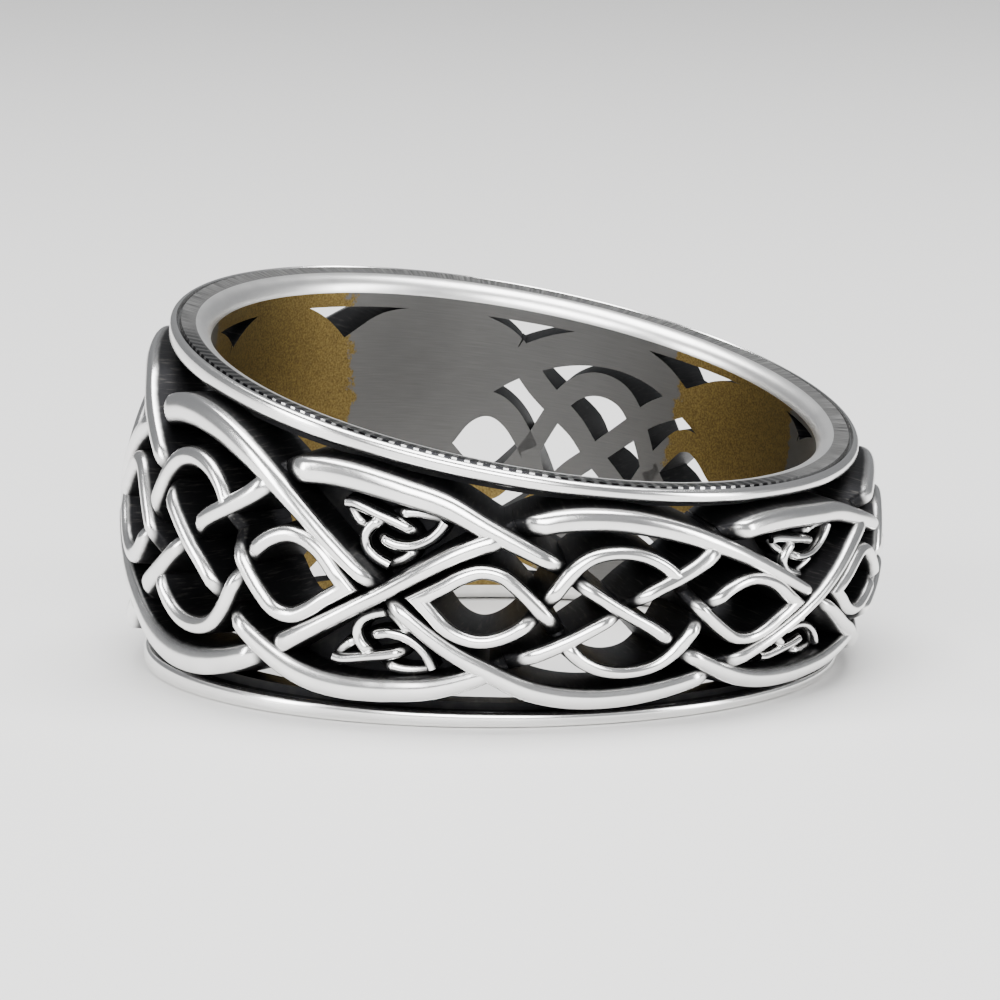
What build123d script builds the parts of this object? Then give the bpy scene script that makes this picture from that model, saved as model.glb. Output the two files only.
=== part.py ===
from build123d import *
import os
from math import cos, sin, radians, atan2, hypot

# A cast silver finger ring: a tapered band with two plain rails and a pierced, raised interlace.
# Millimetres. The ring lies on its lower rail, +Z up, and the origin is where the axis of the
# bore meets the surface that the ring rests on. +X points at the widest side of the band.

# Band
bore_radius = 9.5
rail_radius = 10.8
width_wide = 11.6
width_narrow = 6.8
dome_radius = 11.8
dome_drop = 0.95
ground_radius = 10.45
flange_radius = 10.3

# Rail section
crease_depth = 0.14
crease_width = 0.16
bead_width = 0.26
bead_bevel = 0.14
bead_lip = 0.02
bead_shoulder = 0.04

# Interlace
repeats = 5
over_lift = 0.12
under_dip = 0.36
dip_length = 0.9
dip_power = 1.5
roof_drop = 0.2
skirt = 0.09
wave_width_mid = 0.46
wave_width_edge = 0.78
loop_width = 0.43
trefoil_width = 0.30
trefoil_radius = 11.1

# Shares of the band's half width
rail_share = 0.125
flange_share = 0.18
wave_widest = 0.73

# Sunk grounds, as shares of half a repeat
ground_start = 0.56
neck_start = 0.80
neck_end = 0.96

# Number of the one weave that has a sunk ground behind all of it
closed_weave = 0

# Facets
rail_steps = 72
strand_corners = 5
wave_step = 0.15
panel_step = 0.15
core_depth = 0.45

half_pitch = 180 / repeats
mid_half_width = (width_wide + width_narrow) / 4
taper_half_width = (width_wide - width_narrow) / 4
lean = atan2(taper_half_width, rail_radius)
core_radius = bore_radius - core_depth
arc_per_degree = radians(dome_radius)
cut_length = 3 * width_wide

# Charted routes, a row for each bend. Places along the band are shares of half a repeat,
# heights are shares of the band's half width. The middle of a weave is at 0, 0.
WAVE = [
    # along, height of the broad wave over the top of the weave
    (-1.00, 0.00), (-0.72, 0.32), (-0.56, 0.47), (-0.38, 0.645), (-0.19, 0.73),
    (0.03, 0.735), (0.25, 0.66), (0.46, 0.52), (0.68, 0.32), (1.00, 0.00),
]
FALLING = [
    # along, height of the slanting wave that falls through the weave
    (-1.00, 0.72), (-0.78, 0.68), (-0.60, 0.575), (-0.44, 0.47), (-0.31, 0.37),
    (-0.19, 0.225), (0.00, 0.01), (0.13, -0.13), (0.26, -0.32), (0.35, -0.42),
    (0.46, -0.53), (0.58, -0.63), (0.70, -0.69), (0.84, -0.72), (1.00, -0.72),
]
RISING = [
    # along, height of the slanting wave that rises through the weave
    (-1.00, -0.72), (-0.78, -0.68), (-0.60, -0.575), (-0.46, -0.44), (-0.34, -0.345),
    (-0.22, -0.225), (-0.10, -0.08), (0.00, 0.04), (0.10, 0.19), (0.22, 0.31),
    (0.34, 0.44), (0.47, 0.62), (0.62, 0.70), (0.80, 0.73), (1.00, 0.72),
]
ALMOND = [
    # along, height of the loop's pointed end, from under its own crossing and back over it
    (-0.345, 0.01), (-0.385, -0.09), (-0.44, -0.19), (-0.51, -0.255), (-0.575, -0.27),
    (-0.65, -0.24), (-0.715, -0.18), (-0.785, -0.08), (-0.85, 0.00), (-0.80, 0.052),
    (-0.735, 0.115), (-0.66, 0.20), (-0.575, 0.265), (-0.49, 0.25), (-0.425, 0.165),
    (-0.37, 0.06), (-0.32, -0.05), (-0.27, -0.18),
]
BOW = [
    # along, height of the loop's round arc under the weave
    (-0.27, -0.18), (-0.185, -0.37), (-0.10, -0.465), (-0.01, -0.503), (0.085, -0.495),
    (0.165, -0.445), (0.23, -0.345), (0.28, -0.215), (0.32, -0.09), (0.345, 0.01),
]
TREFOIL = [
    # along, height of each of the three arcs, measured from the crossing below them
    [
        (-0.229, 0.535), (-0.188, 0.543), (-0.075, 0.507), (0.031, 0.471), (0.086, 0.432),
        (0.107, 0.375), (0.097, 0.301), (0.058, 0.230), (-0.008, 0.165),
    ],
    [
        (0.222, 0.548), (0.199, 0.472), (0.157, 0.395), (0.094, 0.335), (0.018, 0.318),
        (-0.049, 0.343), (-0.117, 0.387), (-0.180, 0.445), (-0.229, 0.535),
    ],
    [
        (-0.008, 0.165), (-0.063, 0.195), (-0.112, 0.248), (-0.130, 0.321), (-0.112, 0.404),
        (-0.060, 0.475), (0.012, 0.540), (0.081, 0.572), (0.159, 0.570), (0.222, 0.548),
    ],
]

# Places where one strand dives under another, as shares of half a repeat
wave_dive = 0.47
loop_dive = 0.25

# Row of the pointed end's table where its second solid takes over
almond_joint = 5


def half_width(x):
    """Half width of the band over a point x along the taper."""
    return mid_half_width + taper_half_width * x / rail_radius


def place(radius, angle, height):
    """Point at a radius, an angle and a share of the half width, on the ring as it lies."""
    x = radius * cos(radians(angle))
    y = radius * sin(radians(angle))
    up = height * half_width(x) + mid_half_width
    return Vector(x * cos(lean) - up * sin(lean), y, x * sin(lean) + up * cos(lean))


def eased(table, along):
    """Height on a charted route at a place along it, eased between the rows."""
    i = 0
    while i < len(table) - 2 and along > table[i + 1][0]:
        i += 1
    start = table[i]
    end = table[i + 1]
    before = table[max(i - 1, 0)]
    after = table[min(i + 2, len(table) - 1)]
    span = end[0] - start[0]
    t = (along - start[0]) / span
    slope_start = (end[1] - before[1]) / (end[0] - before[0]) * span
    slope_end = (after[1] - start[1]) / (after[0] - start[0]) * span
    blend = (2 * t**3 - 3 * t**2 + 1) * start[1] + (3 * t**2 - 2 * t**3) * end[1]
    return blend + (t**3 - 2 * t**2 + t) * slope_start + (t**3 - t**2) * slope_end


def wave_top(along):
    """Height of the broad wave that passes over the weave at 0."""
    turn = round(along / 2)
    return (-1) ** turn * eased(WAVE, along - 2 * turn)


def wave_bottom(along):
    """Height of the broad wave that passes below the weave at 0."""
    return -wave_top(along)


def slant_down(along):
    """Height of the slanting wave that falls through the weave at 0."""
    turn = round(along / 2)
    return eased(RISING if turn % 2 else FALLING, along - 2 * turn)


def slant_up(along):
    """Height of the slanting wave that rises through the weave at 0."""
    turn = round(along / 2)
    return eased(FALLING if turn % 2 else RISING, along - 2 * turn)


def dome(height):
    """Radius of the raised interlace at a height."""
    return dome_radius + over_lift - dome_drop * height**2


def wave_width(height):
    """Width of a broad strand, wider towards the rails."""
    return wave_width_mid + (wave_width_edge - wave_width_mid) * min(1, abs(height) / wave_widest) ** 2


def steps(start, end, size):
    """Evenly spaced values from start to end, about size apart."""
    count = max(2, round(abs(end - start) / size))
    return [start + (end - start) * i / count for i in range(count + 1)]


def solid_of(points, triangles):
    """Closed solid from corner points and triangles of their numbers."""
    faces = []
    for corners in triangles:
        faces.append(Face(Wire.make_polygon([points[i] for i in corners], close=True)))
    return Solid(Shell(faces))


def band_triangles(ring, count, closed):
    """Triangles between a row of sections that have ring corners each."""
    triangles = []
    for i in range(count if closed else count - 1):
        following = (i + 1) % count
        for j in range(ring):
            beside = (j + 1) % ring
            triangles.append((i * ring + j, i * ring + beside, following * ring + j))
            triangles.append((i * ring + beside, following * ring + beside, following * ring + j))
    if not closed:
        last = (count - 1) * ring
        for j in range(1, ring - 1):
            triangles.append((0, j + 1, j))
            triangles.append((last, last + j, last + j + 1))
    return triangles


def strand(base, route, width_at, crest_at, dives, joint=0):
    """Walls with ridged roofs along a route, whose ends sink where it dives.

    A route that crosses itself has a joint, the row where a second solid takes over.
    """
    laid = [(half_pitch * a * arc_per_degree, h * mid_half_width) for a, h in route]
    runs = []
    for start, end in zip(laid, laid[1:]):
        length = hypot(end[0] - start[0], end[1] - start[1])
        runs.append((length, (start[1] - end[1]) / length, (end[0] - start[0]) / length))
    total = sum(run[0] for run in runs)
    gone = 0
    points = []
    for i, (along, height) in enumerate(route):
        before = runs[max(i - 1, 0)]
        after = runs[min(i, len(runs) - 1)]
        across = (before[1] + after[1], before[2] + after[2])
        size = hypot(*across)
        mitre = 2 / size
        to_end = min(gone, total - gone)
        sink = under_dip * max(0, 1 - to_end / dip_length) ** dip_power if dives else 0
        crest = crest_at(height) - sink
        half = width_at(height) / 2
        for offset, radius in (
            (-half - skirt, core_radius),
            (-half, crest - roof_drop),
            (0, crest),
            (half, crest - roof_drop),
            (half + skirt, core_radius),
        ):
            shift = offset * mitre
            angle = base + half_pitch * along + shift * across[0] / size / arc_per_degree
            points.append(place(radius, angle, height + shift * across[1] / size / mid_half_width))
        if i < len(runs):
            gone += runs[i][0]
    solids = []
    for first, last in ((0, joint), (joint, len(route) - 1)):
        if last > first:
            count = last - first + 1
            part = points[first * strand_corners : (last + 1) * strand_corners]
            solids.append(solid_of(part, band_triangles(strand_corners, count, False)))
    return solids


def wave_strand(base, start, end, height_at):
    """Broad strand between two places where it dives under another."""
    route = [(along, height_at(along)) for along in steps(start, end, wave_step)]
    return strand(base, route, wave_width, dome, True)


def waves(base):
    """Broad and slanting strands of one repeat."""
    solids = []
    for start, end, height_at in (
        (-wave_dive, 1, wave_top),
        (-1, wave_dive, wave_bottom),
        (wave_dive, 2 - wave_dive, wave_bottom),
        (wave_dive, 2 - loop_dive, slant_up),
        (loop_dive, 2 - wave_dive, slant_down),
        (-loop_dive, loop_dive, slant_down),
        (-wave_dive, 0, slant_up),
        (0, wave_dive, slant_up),
    ):
        solids += wave_strand(base, start, end, height_at)
    return solids


def loops(base):
    """The two pointed ends and the two arcs of the loop in one weave."""
    pieces = []
    for table, joint in ((ALMOND, almond_joint), (BOW, 0)):
        for turn in (1, -1):
            route = [(turn * along, turn * height) for along, height in table]
            pieces += strand(base, route, lambda height: loop_width, dome, True, joint)
    return pieces


def trefoils(base):
    """Low trefoils above and below the X crossing at the base angle."""
    pieces = []
    for side in (1, -1):
        for table in TREFOIL:
            route = [(along, side * height) for along, height in table]
            pieces += strand(
                base, route, lambda height: trefoil_width, lambda height: trefoil_radius, False
            )
    return pieces


def panel(base, start, end, low_at, high_at):
    """Sunk plate between two routes."""
    places = steps(start, end, panel_step)
    points = []
    for along in places:
        angle = base + half_pitch * along
        low = low_at(along)
        high = high_at(along)
        for radius, height in (
            (core_radius, low), (ground_radius, low), (ground_radius, high), (core_radius, high),
        ):
            points.append(place(radius, angle, height))
    return solid_of(points, band_triangles(4, len(places), False))


def above(along):
    """Height of the broad wave over the middle of the band."""
    return abs(wave_top(along))


def below(along):
    """Height of the broad wave under the middle of the band."""
    return -above(along)


def backing(base):
    """Sunk grounds behind the trefoils of the X crossing at 1 along the repeat."""
    ground_end = 2 - ground_start
    return [
        panel(base, ground_start, ground_end, above, slant_up),
        panel(base, ground_start, ground_end, slant_down, below),
    ]


def necks(base, closed):
    """Sunk grounds at both ends of a weave, or one behind a whole closed weave."""
    if closed:
        return [panel(base, -neck_end, neck_end, below, above)]
    return [
        panel(base, -neck_end, -neck_start, below, above),
        panel(base, neck_start, neck_end, below, above),
    ]


def rail(side):
    """One plain rail, with its end face, crease, outer bead and a thin flange inside."""
    crease = rail_radius - bead_width
    inner = 1 - rail_share
    section = [
        # radius, share of the half width, depth below it
        (core_radius, 1, 0),
        (crease - crease_width / 2, 1, 0),
        (crease, 1, crease_depth),
        (crease + crease_width / 2, 1, bead_lip),
        (rail_radius - bead_bevel / 2, 1, bead_shoulder),
        (rail_radius, 1, bead_bevel),
        (rail_radius, inner, -bead_bevel),
        (rail_radius - bead_bevel, inner, 0),
        (flange_radius, inner, 0),
        (flange_radius, 1 - flange_share, 0),
        (core_radius, 1 - flange_share, 0),
    ]
    points = []
    for i in range(rail_steps):
        angle = 360 * i / rail_steps
        for radius, share, depth in section:
            local = half_width(radius * cos(radians(angle)))
            points.append(place(radius, angle, side * (share - depth / local)))
    return solid_of(points, band_triangles(len(section), rail_steps, True))


def bore():
    """Cylinder that opens the finger hole through everything."""
    axis = Vector(-sin(lean), 0, cos(lean))
    return Solid.make_cylinder(bore_radius, cut_length, Plane(axis * -width_wide, z_dir=axis))


pieces = [rail(1), rail(-1)]
for k in range(repeats):
    base = 2 * half_pitch * k
    pieces += waves(base) + loops(base) + trefoils(base + half_pitch)
    pieces += backing(base) + necks(base, k == closed_weave)

ring = pieces[0].fuse(*pieces[1:])
ring = ring.cut(bore())

os.makedirs("parts", exist_ok=True)
export_step(ring, "parts/ring_band.step", write_pcurves=False)
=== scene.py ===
from math import atan2, ceil, cos, hypot, radians, sin

import bmesh
import bpy
import numpy as np
from mathutils import Matrix, Vector


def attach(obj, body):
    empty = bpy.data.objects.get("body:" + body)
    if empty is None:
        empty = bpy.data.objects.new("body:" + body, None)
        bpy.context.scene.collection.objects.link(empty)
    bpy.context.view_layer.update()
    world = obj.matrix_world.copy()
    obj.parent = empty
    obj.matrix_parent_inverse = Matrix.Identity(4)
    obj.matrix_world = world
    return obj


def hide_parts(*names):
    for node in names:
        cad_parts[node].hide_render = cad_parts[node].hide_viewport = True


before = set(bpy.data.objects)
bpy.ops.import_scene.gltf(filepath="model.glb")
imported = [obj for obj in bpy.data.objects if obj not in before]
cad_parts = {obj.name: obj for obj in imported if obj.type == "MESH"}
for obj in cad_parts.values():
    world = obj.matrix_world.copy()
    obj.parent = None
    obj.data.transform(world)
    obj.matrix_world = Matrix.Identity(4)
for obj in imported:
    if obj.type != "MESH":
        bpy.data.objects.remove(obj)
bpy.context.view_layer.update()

# Band, in millimetres
bore_radius = 9.5
rail_radius = 10.8
width_wide = 11.6
width_narrow = 6.8
dome_radius = 11.8
dome_drop = 0.95
ground_radius = 10.45
repeats = 5

# Rails, in millimetres, but for the two shares of the band's half width
flange_radius = 10.3
bead_width = 0.26
bead_setback = 0.015
crease_width = 0.15
crease_depth = 0.16
end_slope = 0.12
bore_edge = 0.5
rail_share = 0.125
flange_share = 0.18

# Strands, in millimetres, but for the share of the half width where the waves are widest
wave_width_mid = 0.50
wave_width_edge = 0.84
wave_widest = 0.73
loop_width = 0.52
skirt = 0.12
over_lift = 0.12
roof_drop = 0.24
under_dip = 0.62
dip_length = 1.25
dip_beyond = 0.33
point_length = 0.34

# Trefoils, in millimetres, but for the share of an arc's length that dips under another arc
trefoil_width = 0.34
trefoil_radius = 11.1
trefoil_root = 0.2
trefoil_roof = 0.14
trefoil_dip = 0.4
trefoil_rest = 0.24
trefoil_dip_reach = 0.13

# Places where strands end and sunk grounds start, as shares of half a repeat from the middle
# of a weave
wave_dive = 0.47
loop_dive = 0.25
ground_start = 0.56
neck_start = 0.80
neck_end = 0.96

# Number of the one weave that has a sunk ground behind all of it
closed_weave = 0

# Fineness of the meshes: steps along the waves and grounds as shares of half a repeat, along the
# loops and trefoils in millimetres, sections in a turn, how far the bore's rows reach and how
# far apart they are as shares of the half width, and the angle from which an edge is sharp
wave_step = 0.026
panel_step = 0.05
loop_step = 0.14
trefoil_step = 0.08
ring_steps = 360
bore_rows = 0.8
bore_row_step = 0.08
smooth_angle = radians(38)

# How far the walls reach in past the bore before it is cut, in millimetres, and how far the
# cutting form reaches past the middle of the band, as a share of its half width
core_depth = 0.3
cut_reach = 1.6

MM = 0.001
half_pitch = 180 / repeats
mid_half_width = (width_wide + width_narrow) / 4
taper_half_width = (width_wide - width_narrow) / 4
lean = atan2(taper_half_width, rail_radius)
core_radius = bore_radius - core_depth
arc_per_degree = radians(dome_radius)

# Charted routes: along is a share of half a repeat from the middle of a weave, height is a
# share of the band's half width
WAVE = [
    (-1.00, 0.00), (-0.72, 0.35), (-0.56, 0.50), (-0.38, 0.655), (-0.19, 0.73),
    (0.03, 0.735), (0.25, 0.67), (0.46, 0.545), (0.68, 0.35), (1.00, 0.00),
]
FALLING = [
    (-1.00, 0.72), (-0.78, 0.68), (-0.60, 0.575), (-0.44, 0.47), (-0.31, 0.37),
    (-0.19, 0.225), (0.00, 0.01), (0.13, -0.13), (0.26, -0.32), (0.35, -0.42),
    (0.46, -0.53), (0.58, -0.63), (0.70, -0.69), (0.84, -0.72), (1.00, -0.72),
]
RISING = [
    (-1.00, -0.72), (-0.78, -0.68), (-0.60, -0.575), (-0.46, -0.44), (-0.34, -0.345),
    (-0.22, -0.225), (-0.10, -0.08), (0.00, 0.04), (0.10, 0.19), (0.22, 0.31),
    (0.34, 0.44), (0.47, 0.62), (0.62, 0.70), (0.80, 0.73), (1.00, 0.72),
]
ALMOND_BACK = [
    (-0.345, 0.01), (-0.395, -0.09), (-0.46, -0.19), (-0.535, -0.255), (-0.605, -0.27),
    (-0.675, -0.24), (-0.735, -0.18), (-0.795, -0.08), (-0.85, 0.00),
]
ALMOND_FRONT = [
    (-0.85, 0.00), (-0.805, 0.052), (-0.75, 0.115), (-0.685, 0.20), (-0.605, 0.265),
    (-0.52, 0.25), (-0.45, 0.165), (-0.385, 0.06), (-0.325, -0.05), (-0.27, -0.18),
]
BOW = [
    (-0.27, -0.18), (-0.185, -0.37), (-0.10, -0.465), (-0.01, -0.503), (0.085, -0.495),
    (0.165, -0.445), (0.23, -0.345), (0.28, -0.215), (0.32, -0.09), (0.345, 0.01),
]
TREFOIL = [
    # along, height of each of the three arcs, measured from the crossing below them
    [
        (-0.229, 0.535), (-0.188, 0.543), (-0.075, 0.507), (0.031, 0.471), (0.086, 0.432),
        (0.107, 0.375), (0.097, 0.301), (0.058, 0.230), (-0.008, 0.165),
    ],
    [
        (0.222, 0.548), (0.199, 0.472), (0.157, 0.395), (0.094, 0.335), (0.018, 0.318),
        (-0.049, 0.343), (-0.117, 0.387), (-0.180, 0.445), (-0.229, 0.535),
    ],
    [
        (-0.008, 0.165), (-0.063, 0.195), (-0.112, 0.248), (-0.130, 0.321), (-0.112, 0.404),
        (-0.060, 0.475), (0.012, 0.540), (0.081, 0.572), (0.159, 0.570), (0.222, 0.548),
    ],
]

# Share of each trefoil arc's length at which it passes under another
TREFOIL_UNDER = (0.66, 0.70, 0.57)

# Rounded roof of a strand: place across it as a share of its half width, and drop as a share
ROOF = [
    (-1.0, 1.0), (-0.94, 0.70), (-0.80, 0.42), (-0.55, 0.19), (-0.25, 0.045), (0.0, 0.0),
    (0.25, 0.045), (0.55, 0.19), (0.80, 0.42), (0.94, 0.70), (1.0, 1.0),
]


def half_width(x):
    """Half width of the band over a point x along the taper."""
    return mid_half_width + taper_half_width * x / rail_radius


def place(radius, angle, height):
    """Point in metres at a radius, an angle in degrees and a share of the half width."""
    x = radius * cos(radians(angle))
    y = radius * sin(radians(angle))
    up = height * half_width(x) + mid_half_width
    return (
        MM * (x * cos(lean) - up * sin(lean)), MM * y, MM * (x * sin(lean) + up * cos(lean))
    )


def eased(table, along):
    """Height on a charted route at a place along it, eased between the rows."""
    i = 0
    while i < len(table) - 2 and along > table[i + 1][0]:
        i += 1
    start, end = table[i], table[i + 1]
    before, after = table[max(i - 1, 0)], table[min(i + 2, len(table) - 1)]
    span = end[0] - start[0]
    t = (along - start[0]) / span
    slope_start = (end[1] - before[1]) / (end[0] - before[0]) * span
    slope_end = (after[1] - start[1]) / (after[0] - start[0]) * span
    blend = (2 * t**3 - 3 * t**2 + 1) * start[1] + (3 * t**2 - 2 * t**3) * end[1]
    return blend + (t**3 - 2 * t**2 + t) * slope_start + (t**3 - t**2) * slope_end


def wave_top(along):
    """Height of the broad wave that passes over the weave at 0."""
    turn = round(along / 2)
    return (-1) ** turn * eased(WAVE, along - 2 * turn)


def wave_bottom(along):
    """Height of the broad wave that passes below the weave at 0."""
    return -wave_top(along)


def slant_down(along):
    """Height of the slanting wave that falls through the weave at 0."""
    turn = round(along / 2)
    return eased(RISING if turn % 2 else FALLING, along - 2 * turn)


def slant_up(along):
    """Height of the slanting wave that rises through the weave at 0."""
    turn = round(along / 2)
    return eased(FALLING if turn % 2 else RISING, along - 2 * turn)


def above(along):
    """Height of the broad wave over the middle of the band."""
    return abs(wave_top(along))


def below(along):
    """Height of the broad wave under the middle of the band."""
    return -above(along)


def dome(height):
    """Radius of the raised interlace at a height."""
    return dome_radius + over_lift - dome_drop * height**2


def wave_width(height):
    """Width of a broad strand, wider towards the rails."""
    share = min(1, abs(height) / wave_widest)
    return wave_width_mid + (wave_width_edge - wave_width_mid) * share**2


def flat(point):
    """A point of a route laid out flat, in millimetres at the mean width."""
    return (half_pitch * point[0] * arc_per_degree, mid_half_width * point[1])


def steps(start, end, size):
    """Evenly spaced values from start to end, about size apart."""
    count = max(2, round(abs(end - start) / size))
    return [start + (end - start) * i / count for i in range(count + 1)]


def smooth_route(table, size):
    """Smooth curve through the rows of a charted route, sampled about size millimetres apart."""
    laid = [flat(row) for row in table]
    marks = [0]
    for start, end in zip(laid, laid[1:]):
        marks.append(marks[-1] + hypot(end[0] - start[0], end[1] - start[1]))
    along = list(zip(marks, [row[0] for row in table]))
    height = list(zip(marks, [row[1] for row in table]))
    return [(eased(along, mark), eased(height, mark)) for mark in steps(0, marks[-1], size)]


def band_faces(ring, count, closed):
    """Quads between a row of sections that have ring corners each, with capped ends."""
    faces = []
    for i in range(count if closed else count - 1):
        following = (i + 1) % count
        for j in range(ring):
            beside = (j + 1) % ring
            faces.append(
                (i * ring + j, following * ring + j, following * ring + beside, i * ring + beside)
            )
    if not closed:
        last = (count - 1) * ring
        faces.append(tuple(range(ring)))
        faces.append(tuple(last + j for j in reversed(range(ring))))
    return faces


def dive_ends(gone, total):
    """How far a strand's crest sinks where both of its ends pass under others."""
    ends = [max(0, 1 - (left + dip_beyond) / dip_length) for left in (gone, total - gone)]
    return under_dip * sum(end**2 * (3 - 2 * end) for end in ends)


def strand(base, route, width_at, crest_at, sink_at=dive_ends, low=core_radius, roof=roof_drop):
    """Corners and faces of a wall with a rounded roof along a route."""
    laid = [flat(point) for point in route]
    runs = []
    for start, end in zip(laid, laid[1:]):
        length = hypot(end[0] - start[0], end[1] - start[1])
        runs.append((length, (start[1] - end[1]) / length, (end[0] - start[0]) / length))
    total = sum(run[0] for run in runs)
    gone = 0
    corners = []
    for i, (along, height) in enumerate(route):
        before = runs[max(i - 1, 0)]
        after = runs[min(i, len(runs) - 1)]
        across = (before[1] + after[1], before[2] + after[2])
        size = hypot(*across)
        mitre = 2 / size
        crest = crest_at(height) - sink_at(gone, total)
        half = width_at(height) / 2
        section = [(-half - skirt, low)]
        section += [(half * share, crest - roof * drop) for share, drop in ROOF]
        section += [(half + skirt, low)]
        for offset, radius in section:
            shift = offset * mitre
            angle = base + half_pitch * along + shift * across[0] / size / arc_per_degree
            beside = height + shift * across[1] / size / mid_half_width
            corners.append(place(radius, angle, beside))
        if i < len(runs):
            gone += runs[i][0]
    return corners, band_faces(len(ROOF) + 2, len(route), False)


def waves(base):
    """Broad and slanting strands of one repeat."""
    made = []
    for start, end, height_at in (
        (-wave_dive, 1, wave_top),
        (-1, wave_dive, wave_bottom),
        (wave_dive, 2 - wave_dive, wave_bottom),
        (wave_dive, 2 - loop_dive, slant_up),
        (loop_dive, 2 - wave_dive, slant_down),
        (-loop_dive, loop_dive, slant_down),
        (-wave_dive, 0, slant_up),
        (0, wave_dive, slant_up),
    ):
        route = [(along, height_at(along)) for along in steps(start, end, wave_step)]
        made.append(strand(base, route, wave_width, dome))
    return made


def loops(base):
    """The two pointed ends and the two arcs of the loop in one weave."""
    back = smooth_route(ALMOND_BACK, loop_step)
    front = smooth_route(ALMOND_FRONT, loop_step)
    bare = ceil(point_length / loop_step)
    pointed = back[: -1 - bare] + [ALMOND_FRONT[0]] + front[1 + bare :]
    made = []
    for turn in (1, -1):
        for route in (pointed, smooth_route(BOW, loop_step)):
            turned = [(turn * along, turn * height) for along, height in route]
            made.append(strand(base, turned, lambda height: loop_width, dome))
    return made


def carried_round(section, side=1):
    """Corners of a section carried round the band. Each has a radius, a share of the half
    width on one side, and how far it lies below that share, in millimetres."""
    corners = []
    for i in range(ring_steps):
        angle = 360 * i / ring_steps
        for radius, share, depth in section:
            local = half_width(radius * cos(radians(angle)))
            corners.append(place(radius, angle, side * (share - depth / local)))
    return corners


def rail(side):
    """One plain rail, with its end face, crease, round outer bead and a thin flange inside."""
    crease = rail_radius - bead_width
    inner = 1 - rail_share
    bead_start = crease + crease_width / 2
    bead = rail_radius - bead_start
    section = [
        (core_radius, 1, end_slope),
        (crease - crease_width / 2, 1, 0),
        (crease - crease_width / 6, 1, crease_depth),
        (crease + crease_width / 6, 1, crease_depth),
    ]
    for turn in range(0, 91, 15):
        drop = bead_setback + bead * (1 - cos(radians(turn)))
        section.append((bead_start + bead * sin(radians(turn)), 1, drop))
    for turn in (0, 22, 45, 68, 90):
        drop = -bead * (1 - sin(radians(turn)))
        section.append((rail_radius - bead * (1 - cos(radians(turn))), inner, drop))
    section += [
        (flange_radius, inner, 0),
        (flange_radius, 1 - flange_share, 0),
        (core_radius, 1 - flange_share, 0),
    ]
    return carried_round(section, side), band_faces(len(section), ring_steps, True)


def panel(base, start, end, low_at, high_at):
    """Sunk plate between two routes."""
    places = steps(start, end, panel_step)
    corners = []
    for along in places:
        angle = base + half_pitch * along
        low, high = low_at(along), high_at(along)
        for radius, height in (
            (core_radius, low), (ground_radius, low), (ground_radius, high), (core_radius, high),
        ):
            corners.append(place(radius, angle, height))
    return corners, band_faces(4, len(places), False)


def backing(base):
    """Sunk grounds behind the trefoils of the X crossing at 1 along the repeat."""
    ground_end = 2 - ground_start
    return [
        panel(base, ground_start, ground_end, above, slant_up),
        panel(base, ground_start, ground_end, slant_down, below),
    ]


def necks(base, closed):
    """Sunk grounds at both ends of a weave, or one behind a whole closed weave."""
    if closed:
        return [panel(base, -neck_end, neck_end, below, above)]
    return [
        panel(base, -neck_end, -neck_start, below, above),
        panel(base, neck_start, neck_end, below, above),
    ]


def bore_tool():
    """Closed form that opens the finger hole, flared to round the inner edges of the rails."""
    edge_radius = bore_radius + bore_edge
    crease_inner = rail_radius - bead_width - crease_width / 2
    edge_drop = end_slope * (crease_inner - edge_radius) / (crease_inner - core_radius)
    turns = range(90, -1, -15)
    section = [(edge_radius, cut_reach, 0)]
    for side, order in ((1, turns), (-1, turns[::-1])):
        for turn in order:
            out = bore_edge * (1 - cos(radians(turn)))
            drop = edge_drop + bore_edge * (1 - sin(radians(turn)))
            section.append((bore_radius + out, side, side * drop))
        if side > 0:
            rows = steps(bore_rows, -bore_rows, bore_row_step)
            section += [(bore_radius, share, 0) for share in rows]
    section.append((edge_radius, -cut_reach, 0))
    ring = len(section)
    faces = []
    for i in range(ring_steps):
        here, following = i * ring, (i + 1) % ring_steps * ring
        for j in range(ring - 1):
            faces.append((here + j, here + j + 1, following + j + 1, following + j))
    faces.append(tuple(i * ring for i in range(ring_steps)))
    faces.append(tuple(i * ring + ring - 1 for i in reversed(range(ring_steps))))
    return carried_round(section), faces


def mesh_object(name, corners, faces):
    """Mesh object from corners and faces, in the scene."""
    mesh = bpy.data.meshes.new(name)
    mesh.from_pydata(corners, [], faces)
    mesh.update()
    thing = bpy.data.objects.new(name, mesh)
    bpy.context.scene.collection.objects.link(thing)
    return thing


def outward(thing):
    """Turns the faces of a closed mesh outwards."""
    net = bmesh.new()
    net.from_mesh(thing.data)
    bmesh.ops.recalc_face_normals(net, faces=net.faces)
    if net.calc_volume(signed=True) < 0:
        bmesh.ops.reverse_faces(net, faces=net.faces)
    net.to_mesh(thing.data)
    net.free()


def split_faces(mesh):
    """Splits the faces of a mesh into triangles that don't fold over each other."""
    net = bmesh.new()
    net.from_mesh(mesh)
    bmesh.ops.triangulate(net, faces=net.faces, quad_method="BEAUTY", ngon_method="BEAUTY")
    net.to_mesh(mesh)
    net.free()


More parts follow.
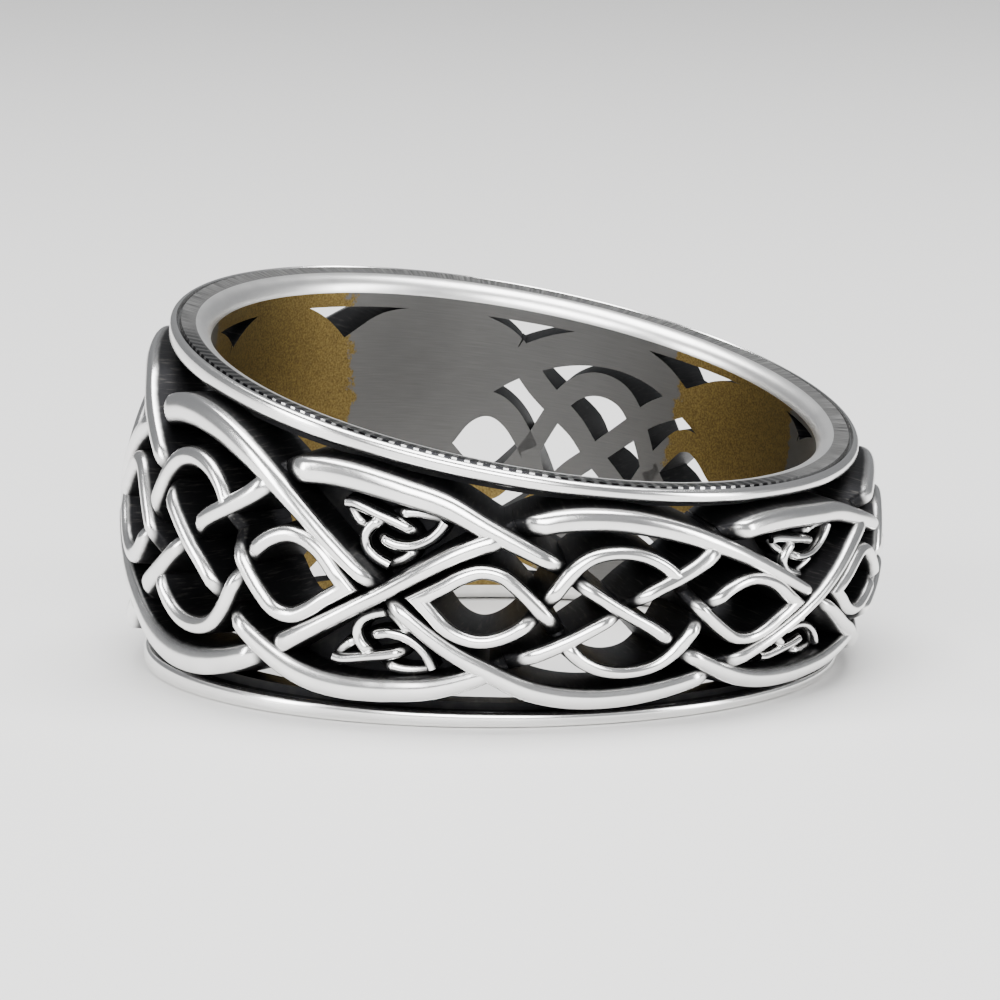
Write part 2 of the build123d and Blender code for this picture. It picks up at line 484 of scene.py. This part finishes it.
def combine(name, made, operation, tool=None):
    """One solid mesh from many: their union, or the first less the tool."""
    things = []
    for i, (corners, faces) in enumerate(made + ([tool] if tool else [])):
        thing = mesh_object(f"{name}_{i}", corners, faces)
        outward(thing)
        things.append(thing)
    first = things[0]
    rest = bpy.data.collections.new(name)
    for thing in things[1:]:
        rest.objects.link(thing)
    modifier = first.modifiers.new("join", "BOOLEAN")
    modifier.operation = operation
    modifier.operand_type = "COLLECTION"
    modifier.collection = rest
    modifier.solver = "MANIFOLD"
    graph = bpy.context.evaluated_depsgraph_get()
    mesh = bpy.data.meshes.new_from_object(first.evaluated_get(graph))
    split_faces(mesh)
    for thing in things:
        data = thing.data
        bpy.data.objects.remove(thing)
        bpy.data.meshes.remove(data)
    bpy.data.collections.remove(rest)
    corners = [tuple(vertex.co) for vertex in mesh.vertices]
    faces = [tuple(face.vertices) for face in mesh.polygons]
    bpy.data.meshes.remove(mesh)
    return corners, faces


class Maths:
    """Short way to write sums in a material's nodes."""

    def __init__(self, tree):
        self.tree = tree

    def link(self, value, socket):
        """Sets a socket to a number, or links it to another socket."""
        if isinstance(value, (int, float)):
            socket.default_value = value
        else:
            self.tree.links.new(value, socket)

    def do(self, operation, *values):
        """One sum."""
        node = self.tree.nodes.new("ShaderNodeMath")
        node.operation = operation
        for value, socket in zip(values, node.inputs):
            self.link(value, socket)
        return node.outputs[0]

    def spread(self, value, reach, base=0.0):
        """A value scaled by a reach and added to a base."""
        return self.do("ADD", base, self.do("MULTIPLY", value, reach))

    def ragged(self, value, reach):
        """A noise scaled by a reach to either side of zero."""
        return self.do("MULTIPLY", self.do("SUBTRACT", value, 0.5), reach)

    def ramp(self, value, low, high, start=0.0, end=1.0):
        """Smooth step of a value from low to high, from start to end."""
        node = self.tree.nodes.new("ShaderNodeMapRange")
        node.interpolation_type = "SMOOTHSTEP"
        node.inputs["From Min"].default_value = low
        node.inputs["From Max"].default_value = high
        node.inputs["To Min"].default_value = start
        node.inputs["To Max"].default_value = end
        self.link(value, node.inputs["Value"])
        return node.outputs["Result"]

    def where(self):
        """Place on the surface, in metres."""
        return self.tree.nodes.new("ShaderNodeTexCoord").outputs["Object"]

    def noise(self, vector, scale, detail=3.0, roughness=0.55):
        """Noise at a place."""
        node = self.tree.nodes.new("ShaderNodeTexNoise")
        node.inputs["Scale"].default_value = scale
        node.inputs["Detail"].default_value = detail
        node.inputs["Roughness"].default_value = roughness
        self.tree.links.new(vector, node.inputs["Vector"])
        return node.outputs["Fac"]

    def streaked(self, x, y, z, scale):
        """Noise drawn out along the ring. Each of x, y and z is a value and its stretch."""
        node = self.tree.nodes.new("ShaderNodeCombineXYZ")
        for (value, stretch), socket in zip((x, y, z), node.inputs):
            self.link(self.do("MULTIPLY", value, stretch), socket)
        return self.noise(node.outputs[0], scale)

    def blend(self, share, first, second):
        """Colour between two."""
        node = self.tree.nodes.new("ShaderNodeMix")
        node.data_type = "RGBA"
        self.link(share, node.inputs["Factor"])
        for colour, name in ((first, "A"), (second, "B")):
            socket = [s for s in node.inputs if s.name == name and s.type == "RGBA"][0]
            if isinstance(colour, tuple):
                socket.default_value = (*colour, 1)
            else:
                self.tree.links.new(colour, socket)
        return [s for s in node.outputs if s.type == "RGBA"][0]


def ring_places(maths, where):
    """Radius in millimetres, angle in radians and share of the half width of a place."""
    apart = maths.tree.nodes.new("ShaderNodeSeparateXYZ")
    maths.link(where, apart.inputs[0])
    x0, y0, z0 = [maths.do("MULTIPLY", socket, 1 / MM) for socket in apart.outputs]
    x = maths.spread(z0, sin(lean), maths.do("MULTIPLY", x0, cos(lean)))
    up = maths.do(
        "SUBTRACT", maths.do("MULTIPLY", z0, cos(lean)), maths.do("MULTIPLY", x0, sin(lean))
    )
    squares = maths.do("ADD", maths.do("MULTIPLY", x, x), maths.do("MULTIPLY", y0, y0))
    radius = maths.do("SQRT", squares)
    angle = maths.do("ARCTAN2", y0, x)
    local = maths.spread(x, taper_half_width / rail_radius, mid_half_width)
    height = maths.do("DIVIDE", maths.do("SUBTRACT", up, mid_half_width), local)
    return radius, angle, height


def new_material(name):
    """Material with its shader and a helper for its sums."""
    material = bpy.data.materials.new(name)
    material.use_nodes = True
    tree = material.node_tree
    return material, tree.nodes["Principled BSDF"], Maths(tree)


def metal(shader, maths, colour, roughness):
    """Makes a shader a metal with a colour and a roughness from nodes."""
    maths.tree.links.new(colour, shader.inputs["Base Color"])
    shader.inputs["Metallic"].default_value = 1.0
    maths.tree.links.new(roughness, shader.inputs["Roughness"])


def bump(shader, maths, height, strength, distance):
    """Bump on a shader from a height."""
    node = maths.tree.nodes.new("ShaderNodeBump")
    node.inputs["Strength"].default_value = strength
    node.inputs["Distance"].default_value = distance
    maths.tree.links.new(height, node.inputs["Height"])
    maths.tree.links.new(node.outputs["Normal"], shader.inputs["Normal"])


# Colours
silver_bright = (0.93, 0.925, 0.915)
silver_worn = (0.86, 0.855, 0.845)
silver_scuffed = (0.84, 0.835, 0.82)
# The next two blacks serve both oxide in the hollows and painted shade
oxide_and_shade_black = (0.012, 0.012, 0.013)
oxide_and_shade_streak = (0.05, 0.048, 0.045)
oxide_grain = (0.022, 0.022, 0.021)
# Greys of the end faces, darker than the silver as painted shade; the file marks blend the first
# two
end_grey = (0.16, 0.158, 0.155)
end_pale = (0.40, 0.397, 0.39)
# Painted shade on one side of the end faces
end_front_shade = (0.13, 0.129, 0.127)
# Greys inside the band, darker than the silver as painted shade
satin_shaded_dark = (0.115, 0.114, 0.112)
satin_shaded_pale = (0.20, 0.197, 0.192)
tarnish_brown = (0.11, 0.078, 0.03)
tarnish_gold = (0.25, 0.178, 0.06)
floor_pale = (0.78, 0.775, 0.765, 1)
surround_pale = (0.9, 0.92, 0.95, 1)

# How fast the polish of a strand gives way to black down its sides, and the depths in
# millimetres below its crest where the black starts and is full
# The black is oxide in the hollows, and painted shade down the strands' sides and where they dive
# under each other
fade_power = 2.2
relief_oxide_and_shade = (0.08, 0.34)
trefoil_oxide_and_shade = (0.12, 0.30)

# Dashes of painted shade in the crease: how many go round the rails, and the side that shows them
crease_marks = 170
shaded_side = 113

# Patches of warm tarnish in the bore: middle and half width in degrees round the band, and the
# share of the half width below which the patch lies
TARNISH = [(2, 23, 1.5), (-106, 17, 1.5), (-54, 8, -0.2)]


def relief_silver(name, black, crest_radius=None):
    """Silver polished on the raised strands, black below: oxide in the hollows, painted shade on
    their sides.
    """
    material, shader, maths = new_material(name)
    where = maths.where()
    radius, angle, height = ring_places(maths, where)
    crest = crest_radius
    if crest is None:
        drop = maths.do("MULTIPLY", maths.do("MULTIPLY", height, height), dome_drop)
        crest = maths.do("SUBTRACT", dome_radius + over_lift, drop)
    grit = maths.ragged(maths.noise(where, scale=2600.0), reach=0.08)
    depth = maths.do("ADD", maths.do("SUBTRACT", crest, radius), grit)
    # Black with depth below the crest: oxide in the hollows, and painted shade on the sides and at
    # the dives
    dark = maths.ramp(depth, *black)
    bare = maths.do("POWER", maths.do("SUBTRACT", 1.0, dark), fade_power)
    streaks = maths.streaked((angle, 90.0), (height, 36.0), (radius, 1.0), scale=1.3)
    wall = maths.blend(maths.ramp(streaks, low=0.52, high=0.78), oxide_and_shade_black, oxide_and_shade_streak)
    wear = maths.noise(where, scale=900.0, detail=4.0)
    bright = maths.blend(maths.ramp(wear, low=0.35, high=0.75), silver_bright, silver_worn)
    rough = maths.spread(wear, 0.10, base=maths.ramp(dark, 0, 1, start=0.16, end=0.45))
    metal(shader, maths, maths.blend(bare, wall, bright), rough)
    grain = maths.spread(streaks, dark, base=maths.noise(where, scale=1500.0, detail=2.0))
    bump(shader, maths, grain, strength=0.1, distance=0.00006)
    return material


def shaded_front(maths, angle):
    """1 on the side of the rails painted darker as shade and showing the crease dashes, and 0 on
    the other side.
    """
    turned = maths.do("COSINE", maths.do("SUBTRACT", angle, radians(shaded_side)))
    return maths.ramp(turned, low=0.25, high=0.6)


def crease_shade_dashes(maths, angle):
    """Short even dashes of painted shade round the crease of a rail, 1 on a dash and 0 between two.
    """
    wave = maths.do("SINE", maths.do("MULTIPLY", angle, crease_marks))
    mark = maths.ramp(wave, low=-0.45, high=-0.15)
    return maths.do("MULTIPLY", mark, shaded_front(maths, angle))


def rail_silver():
    """Bright polished silver of the rails' outer bead, dark in the crease, with oxide and painted
    shade under the rail.
    """
    material, shader, maths = new_material("rail_silver")
    where = maths.where()
    radius, angle, height = ring_places(maths, where)
    inward = maths.do("SUBTRACT", rail_radius, radius)
    deep = maths.ramp(inward, low=bead_width - 0.07, high=bead_width - 0.02)
    # Under the bead: oxide in the recess and painted shade
    under_rail = maths.ramp(maths.do("ABSOLUTE", height), low=0.96, high=0.95)
    # The crease is darkened all round, and fully black at the dashes of painted shade
    dashes = maths.ramp(crease_shade_dashes(maths, angle), 0, 1, start=0.6, end=1.0)
    black = maths.do("MULTIPLY", deep, maths.do("MAXIMUM", under_rail, dashes))
    wear = maths.streaked((angle, 8.0), (radius, 1.0), (height, 60.0), scale=1.5)
    bright = maths.blend(maths.ramp(wear, low=0.3, high=0.8), silver_bright, silver_scuffed)
    colour = maths.blend(black, bright, oxide_and_shade_black)
    metal(shader, maths, colour, maths.spread(wear, 0.14, base=0.14))
    grain = maths.noise(where, scale=1200.0, detail=2.0)
    bump(shader, maths, grain, strength=0.05, distance=0.00005)
    return material


def end_silver():
    """Satin silver of the flat end faces, painted grey as shade, with fine radial file marks and a
    dashed crease.
    """
    material, shader, maths = new_material("end_silver")
    radius, angle, height = ring_places(maths, maths.where())
    lines = maths.streaked((angle, 150.0), (radius, 0.7), (0.0, 1.0), scale=1.0)
    pale = maths.blend(maths.ramp(lines, low=0.35, high=0.7), end_grey, end_pale)
    # Painted shade: the end faces are darker on one side of the band
    grey = maths.blend(shaded_front(maths, angle), pale, end_front_shade)
    edge = bore_radius + bore_edge
    by_crease = maths.ramp(radius, low=edge - 0.02, high=edge + 0.10)
    # Dashes of painted shade on the end face, out by the crease
    dashed = maths.do("MULTIPLY", by_crease, crease_shade_dashes(maths, angle))
    colour = maths.blend(dashed, grey, oxide_and_shade_black)
    metal(shader, maths, colour, maths.spread(lines, 0.2, base=0.28))
    bump(shader, maths, lines, strength=0.3, distance=0.00006)
    return material


def edge_silver():
    """Bright silver of the rounded inner edges of the rails."""
    material, shader, maths = new_material("edge_silver")
    wear = maths.noise(maths.where(), scale=1400.0)
    colour = maths.blend(maths.ramp(wear, low=0.3, high=0.8), silver_bright, silver_scuffed)
    metal(shader, maths, colour, maths.spread(wear, 0.12, base=0.28))
    return material


def ground_silver():
    """Blackened silver of the sunk grounds behind the trefoils."""
    material, shader, maths = new_material("ground_silver")
    grain = maths.noise(maths.where(), scale=1800.0)
    colour = maths.blend(maths.ramp(grain, low=0.4, high=0.8), oxide_and_shade_black, oxide_grain)
    metal(shader, maths, colour, maths.spread(grain, 0.2, base=0.42))
    bump(shader, maths, grain, strength=0.1, distance=0.00004)
    return material


def bore_silver():
    """Satin silver inside the band, painted dark grey as shade, with patches of warm tarnish."""
    material, shader, maths = new_material("bore_silver")
    where = maths.where()
    radius, angle, height = ring_places(maths, where)
    edge = maths.ragged(maths.noise(where, scale=520.0, detail=6.0, roughness=0.7), reach=0.34)
    level = maths.do("ADD", height, edge)
    gold = 0.0
    for middle, reach, top in TARNISH:
        off = maths.do("ABSOLUTE", maths.do("SUBTRACT", angle, radians(middle)))
        limit = radians(reach)
        inside = maths.ramp(maths.do("ADD", off, edge), low=limit + 0.01, high=limit - 0.01)
        below_top = maths.ramp(level, low=top + 0.02, high=top - 0.02)
        gold = maths.do("MAXIMUM", gold, maths.do("MULTIPLY", inside, below_top))
    fine = maths.streaked((angle, 9.0), (0.0, 1.0), (height, 120.0), scale=1.0)
    cloud = maths.noise(where, scale=260.0)
    # Painted shade: the bore's silver is dark grey, varied by random cloudy and streaked tone
    grey = maths.blend(maths.do("MULTIPLY", fine, cloud), satin_shaded_dark, satin_shaded_pale)
    speck = maths.noise(where, scale=16000.0, detail=1.0)
    brown = maths.blend(maths.ramp(speck, low=0.2, high=0.8), tarnish_brown, tarnish_gold)
    metal(shader, maths, maths.blend(gold, grey, brown), maths.spread(fine, 0.12, base=0.34))
    bump(shader, maths, fine, strength=0.1, distance=0.00003)
    return material


# Finishes of the band's faces, in the order of its materials
RELIEF, RAIL, END_FACE, BORE, GROUND, EDGE = range(6)


def round_bore(mesh):
    """Shades the faces of the bore as one true cylinder."""
    normals = [(0, 0, 0)] * len(mesh.loops)
    for face in mesh.polygons:
        if face.material_index == BORE:
            for corner in face.loop_indices:
                spot = mesh.vertices[mesh.loops[corner].vertex_index].co
                x = spot.x * cos(lean) + spot.z * sin(lean)
                length = hypot(x, spot.y)
                inward = (-x * cos(lean), -spot.y, -x * sin(lean))
                normals[corner] = tuple(part / length for part in inward)
    mesh.normals_split_custom_set(normals)


def finish_piece(thing, materials, choose):
    """Smooths a mesh, gives each face its material, and hangs it on the ring's body."""
    mesh = thing.data
    for material in materials:
        mesh.materials.append(material)
    centres = np.empty(len(mesh.polygons) * 3)
    normals = np.empty(len(mesh.polygons) * 3)
    mesh.polygons.foreach_get("center", centres)
    mesh.polygons.foreach_get("normal", normals)
    zones = choose(centres.reshape(-1, 3), normals.reshape(-1, 3))
    mesh.polygons.foreach_set("material_index", zones)
    mesh.set_sharp_from_angle(angle=smooth_angle)
    if BORE in zones:
        round_bore(mesh)
    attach(thing, "root")


# How far outwards the faces of the grounds, the bore and the rounded edges face, from -1 to 1,
# and the slack in millimetres where two finishes meet
ground_facing = 0.8
bore_facing = -0.7
edge_facing = -0.999
ground_slack = 0.05
crease_slack = 0.01
bore_slack = 0.02
edge_slack = 0.002

# Shares of the half width past which a face belongs to a rail, and to its end face
rail_zone = 1 - rail_share - 0.004
end_zone = 0.9


def band_zones(centres, normals):
    """Finish of each face of the band, from its place and the way it faces."""
    x = (centres[:, 0] * cos(lean) + centres[:, 2] * sin(lean)) / MM
    up = (centres[:, 2] * cos(lean) - centres[:, 0] * sin(lean)) / MM
    y = centres[:, 1] / MM
    radius = np.hypot(x, y)
    local = mid_half_width + taper_half_width * x / rail_radius
    away = np.abs((up - mid_half_width) / local)
    facing = (normals[:, 0] * cos(lean) + normals[:, 2] * sin(lean)) * x + normals[:, 1] * y
    facing = facing / radius
    crease_inner = rail_radius - bead_width - crease_width / 2
    near_end = (1 - away) * local < bore_edge + end_slope
    zone = np.full(len(centres), RELIEF, dtype=np.int32)
    zone[(facing > ground_facing) & (radius < ground_radius + ground_slack)] = GROUND
    zone[(away > rail_zone) & (radius > flange_radius)] = RAIL
    zone[(away > end_zone) & (radius < crease_inner + crease_slack)] = END_FACE
    zone[(radius < bore_radius + bore_slack) & (facing < bore_facing)] = BORE
    edge = radius < bore_radius + bore_edge - edge_slack
    zone[near_end & edge & (facing > edge_facing)] = EDGE
    return zone


def build_band():
    """The whole casting but its trefoils, as one mesh."""
    made = [rail(1), rail(-1)]
    for k in range(repeats):
        base = 2 * half_pitch * k
        made += waves(base) + loops(base) + backing(base) + necks(base, k == closed_weave)
    joined = combine("joined", made, "UNION")
    opened = combine("opened", [joined], "DIFFERENCE", bore_tool())
    band = mesh_object("knot_band", *opened)
    materials = [
        relief_silver("relief_silver", relief_oxide_and_shade), rail_silver(), end_silver(),
        bore_silver(), ground_silver(), edge_silver(),
    ]
    finish_piece(band, materials, band_zones)
    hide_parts("ring_band")


def trefoil_sink(under):
    """How an arc's crest sinks under the arc that crosses it at a share of its length."""
    def sink(gone, total):
        away = (gone / total - under) / trefoil_dip_reach
        rest = min(1, max(0, (gone / total - under) / (1 - under)))
        return trefoil_dip * max(0, 1 - away**2) ** 2 + trefoil_rest * rest
    return sink


def build_trefoils():
    """The ten low trefoils, each of three woven arcs standing on the sunk ground."""
    made = []
    for k in range(repeats):
        base = half_pitch + 2 * half_pitch * k
        for side in (1, -1):
            for table, under in zip(TREFOIL, TREFOIL_UNDER):
                charted = smooth_route(table, trefoil_step)
                route = [(along, side * height) for along, height in charted]
                made.append(
                    strand(
                        base, route, lambda height: trefoil_width, lambda height: trefoil_radius,
                        trefoil_sink(under), ground_radius - trefoil_root, trefoil_roof,
                    )
                )
    trefoils = mesh_object("trefoils", *combine("trefoil", made, "UNION"))
    finish_piece(
        trefoils, [relief_silver("trefoil_silver", trefoil_oxide_and_shade, trefoil_radius)],
        lambda centres, normals: np.full(len(centres), RELIEF, dtype=np.int32),
    )


# Floor, in metres, and how rough it is
floor_size = 2.0
floor_roughness = 0.5


def build_floor():
    """Plain pale floor that the ring lies on."""
    bpy.ops.mesh.primitive_plane_add(size=floor_size, location=(0, 0, 0))
    floor = bpy.context.object
    floor.name = "floor"
    material, shader, maths = new_material("pale_floor")
    shader.inputs["Base Color"].default_value = floor_pale
    shader.inputs["Roughness"].default_value = floor_roughness
    floor.data.materials.append(material)


# Camera: its place in rail radii from the point that the ring's axis rests on, its angles in
# radians, its lens as a share of the sensor's width, and its sensor and reach in millimetres
# and metres
camera_distance = 16.4061
camera_height = 3.2735
camera_turn = 3.7654
camera_yaw = 0.0019
camera_pitch = 0.1696
camera_roll = -0.0005
focal_share = 5.756
sensor_width = 36.0
nearest = 0.01
farthest = 10.0


def build_camera():
    """Camera at the photograph's angle. Returns how far it is turned round the ring."""
    unit = rail_radius * MM
    turn = Matrix.Rotation(camera_turn, 3, "Z")
    forward = Vector((
        sin(camera_yaw) * cos(camera_pitch), cos(camera_yaw) * cos(camera_pitch), -sin(camera_pitch)
    ))
    right = Vector((cos(camera_yaw), -sin(camera_yaw), 0))
    down = forward.cross(right)
    right, down = (
        cos(camera_roll) * right + sin(camera_roll) * down,
        -sin(camera_roll) * right + cos(camera_roll) * down,
    )
    data = bpy.data.cameras.new("camera")
    data.sensor_width = sensor_width
    data.lens = focal_share * sensor_width
    data.clip_start = nearest
    data.clip_end = farthest
    camera = bpy.data.objects.new("camera", data)
    bpy.context.scene.collection.objects.link(camera)
    axes = Matrix((turn @ right, turn @ -down, turn @ -forward)).transposed()
    camera.matrix_world = axes.to_4x4()
    camera.location = turn @ Vector((0, -camera_distance, camera_height)) * unit
    bpy.context.scene.camera = camera
    return turn


# Soft rectangular lights: name, place and size in metres, and power in watts. Their places are
# in the camera's own directions, and all are aimed at one point
LAMPS = [
    ("front", (-0.05, -0.34, 0.20), (0.34, 0.20), 2.8),
    ("over", (0.0, 0.02, 0.30), (0.30, 0.20), 2.2),
    ("left", (-0.28, -0.10, 0.09), (0.08, 0.18), 0.7),
    ("right", (0.28, -0.10, 0.09), (0.08, 0.18), 0.7),
]
lamp_aim = (0, 0, 0.005)
surround_strength = 0.28


def build_light(turn):
    """Plain soft studio light: one above, one at the front and each side, and a pale surround."""
    for name, place_at, size, power in LAMPS:
        data = bpy.data.lights.new(name, "AREA")
        data.shape = "RECTANGLE"
        data.size, data.size_y = size
        data.energy = power
        lamp = bpy.data.objects.new(name, data)
        bpy.context.scene.collection.objects.link(lamp)
        lamp.location = turn @ Vector(place_at)
        aimed = turn @ (Vector(lamp_aim) - Vector(place_at))
        lamp.rotation_euler = aimed.to_track_quat("-Z", "Y").to_euler()
    world = bpy.data.worlds.new("surround")
    world.use_nodes = True
    background = world.node_tree.nodes["Background"]
    background.inputs["Color"].default_value = surround_pale
    background.inputs["Strength"].default_value = surround_strength
    bpy.context.scene.world = world


build_band()
build_trefoils()
build_floor()
build_light(build_camera())
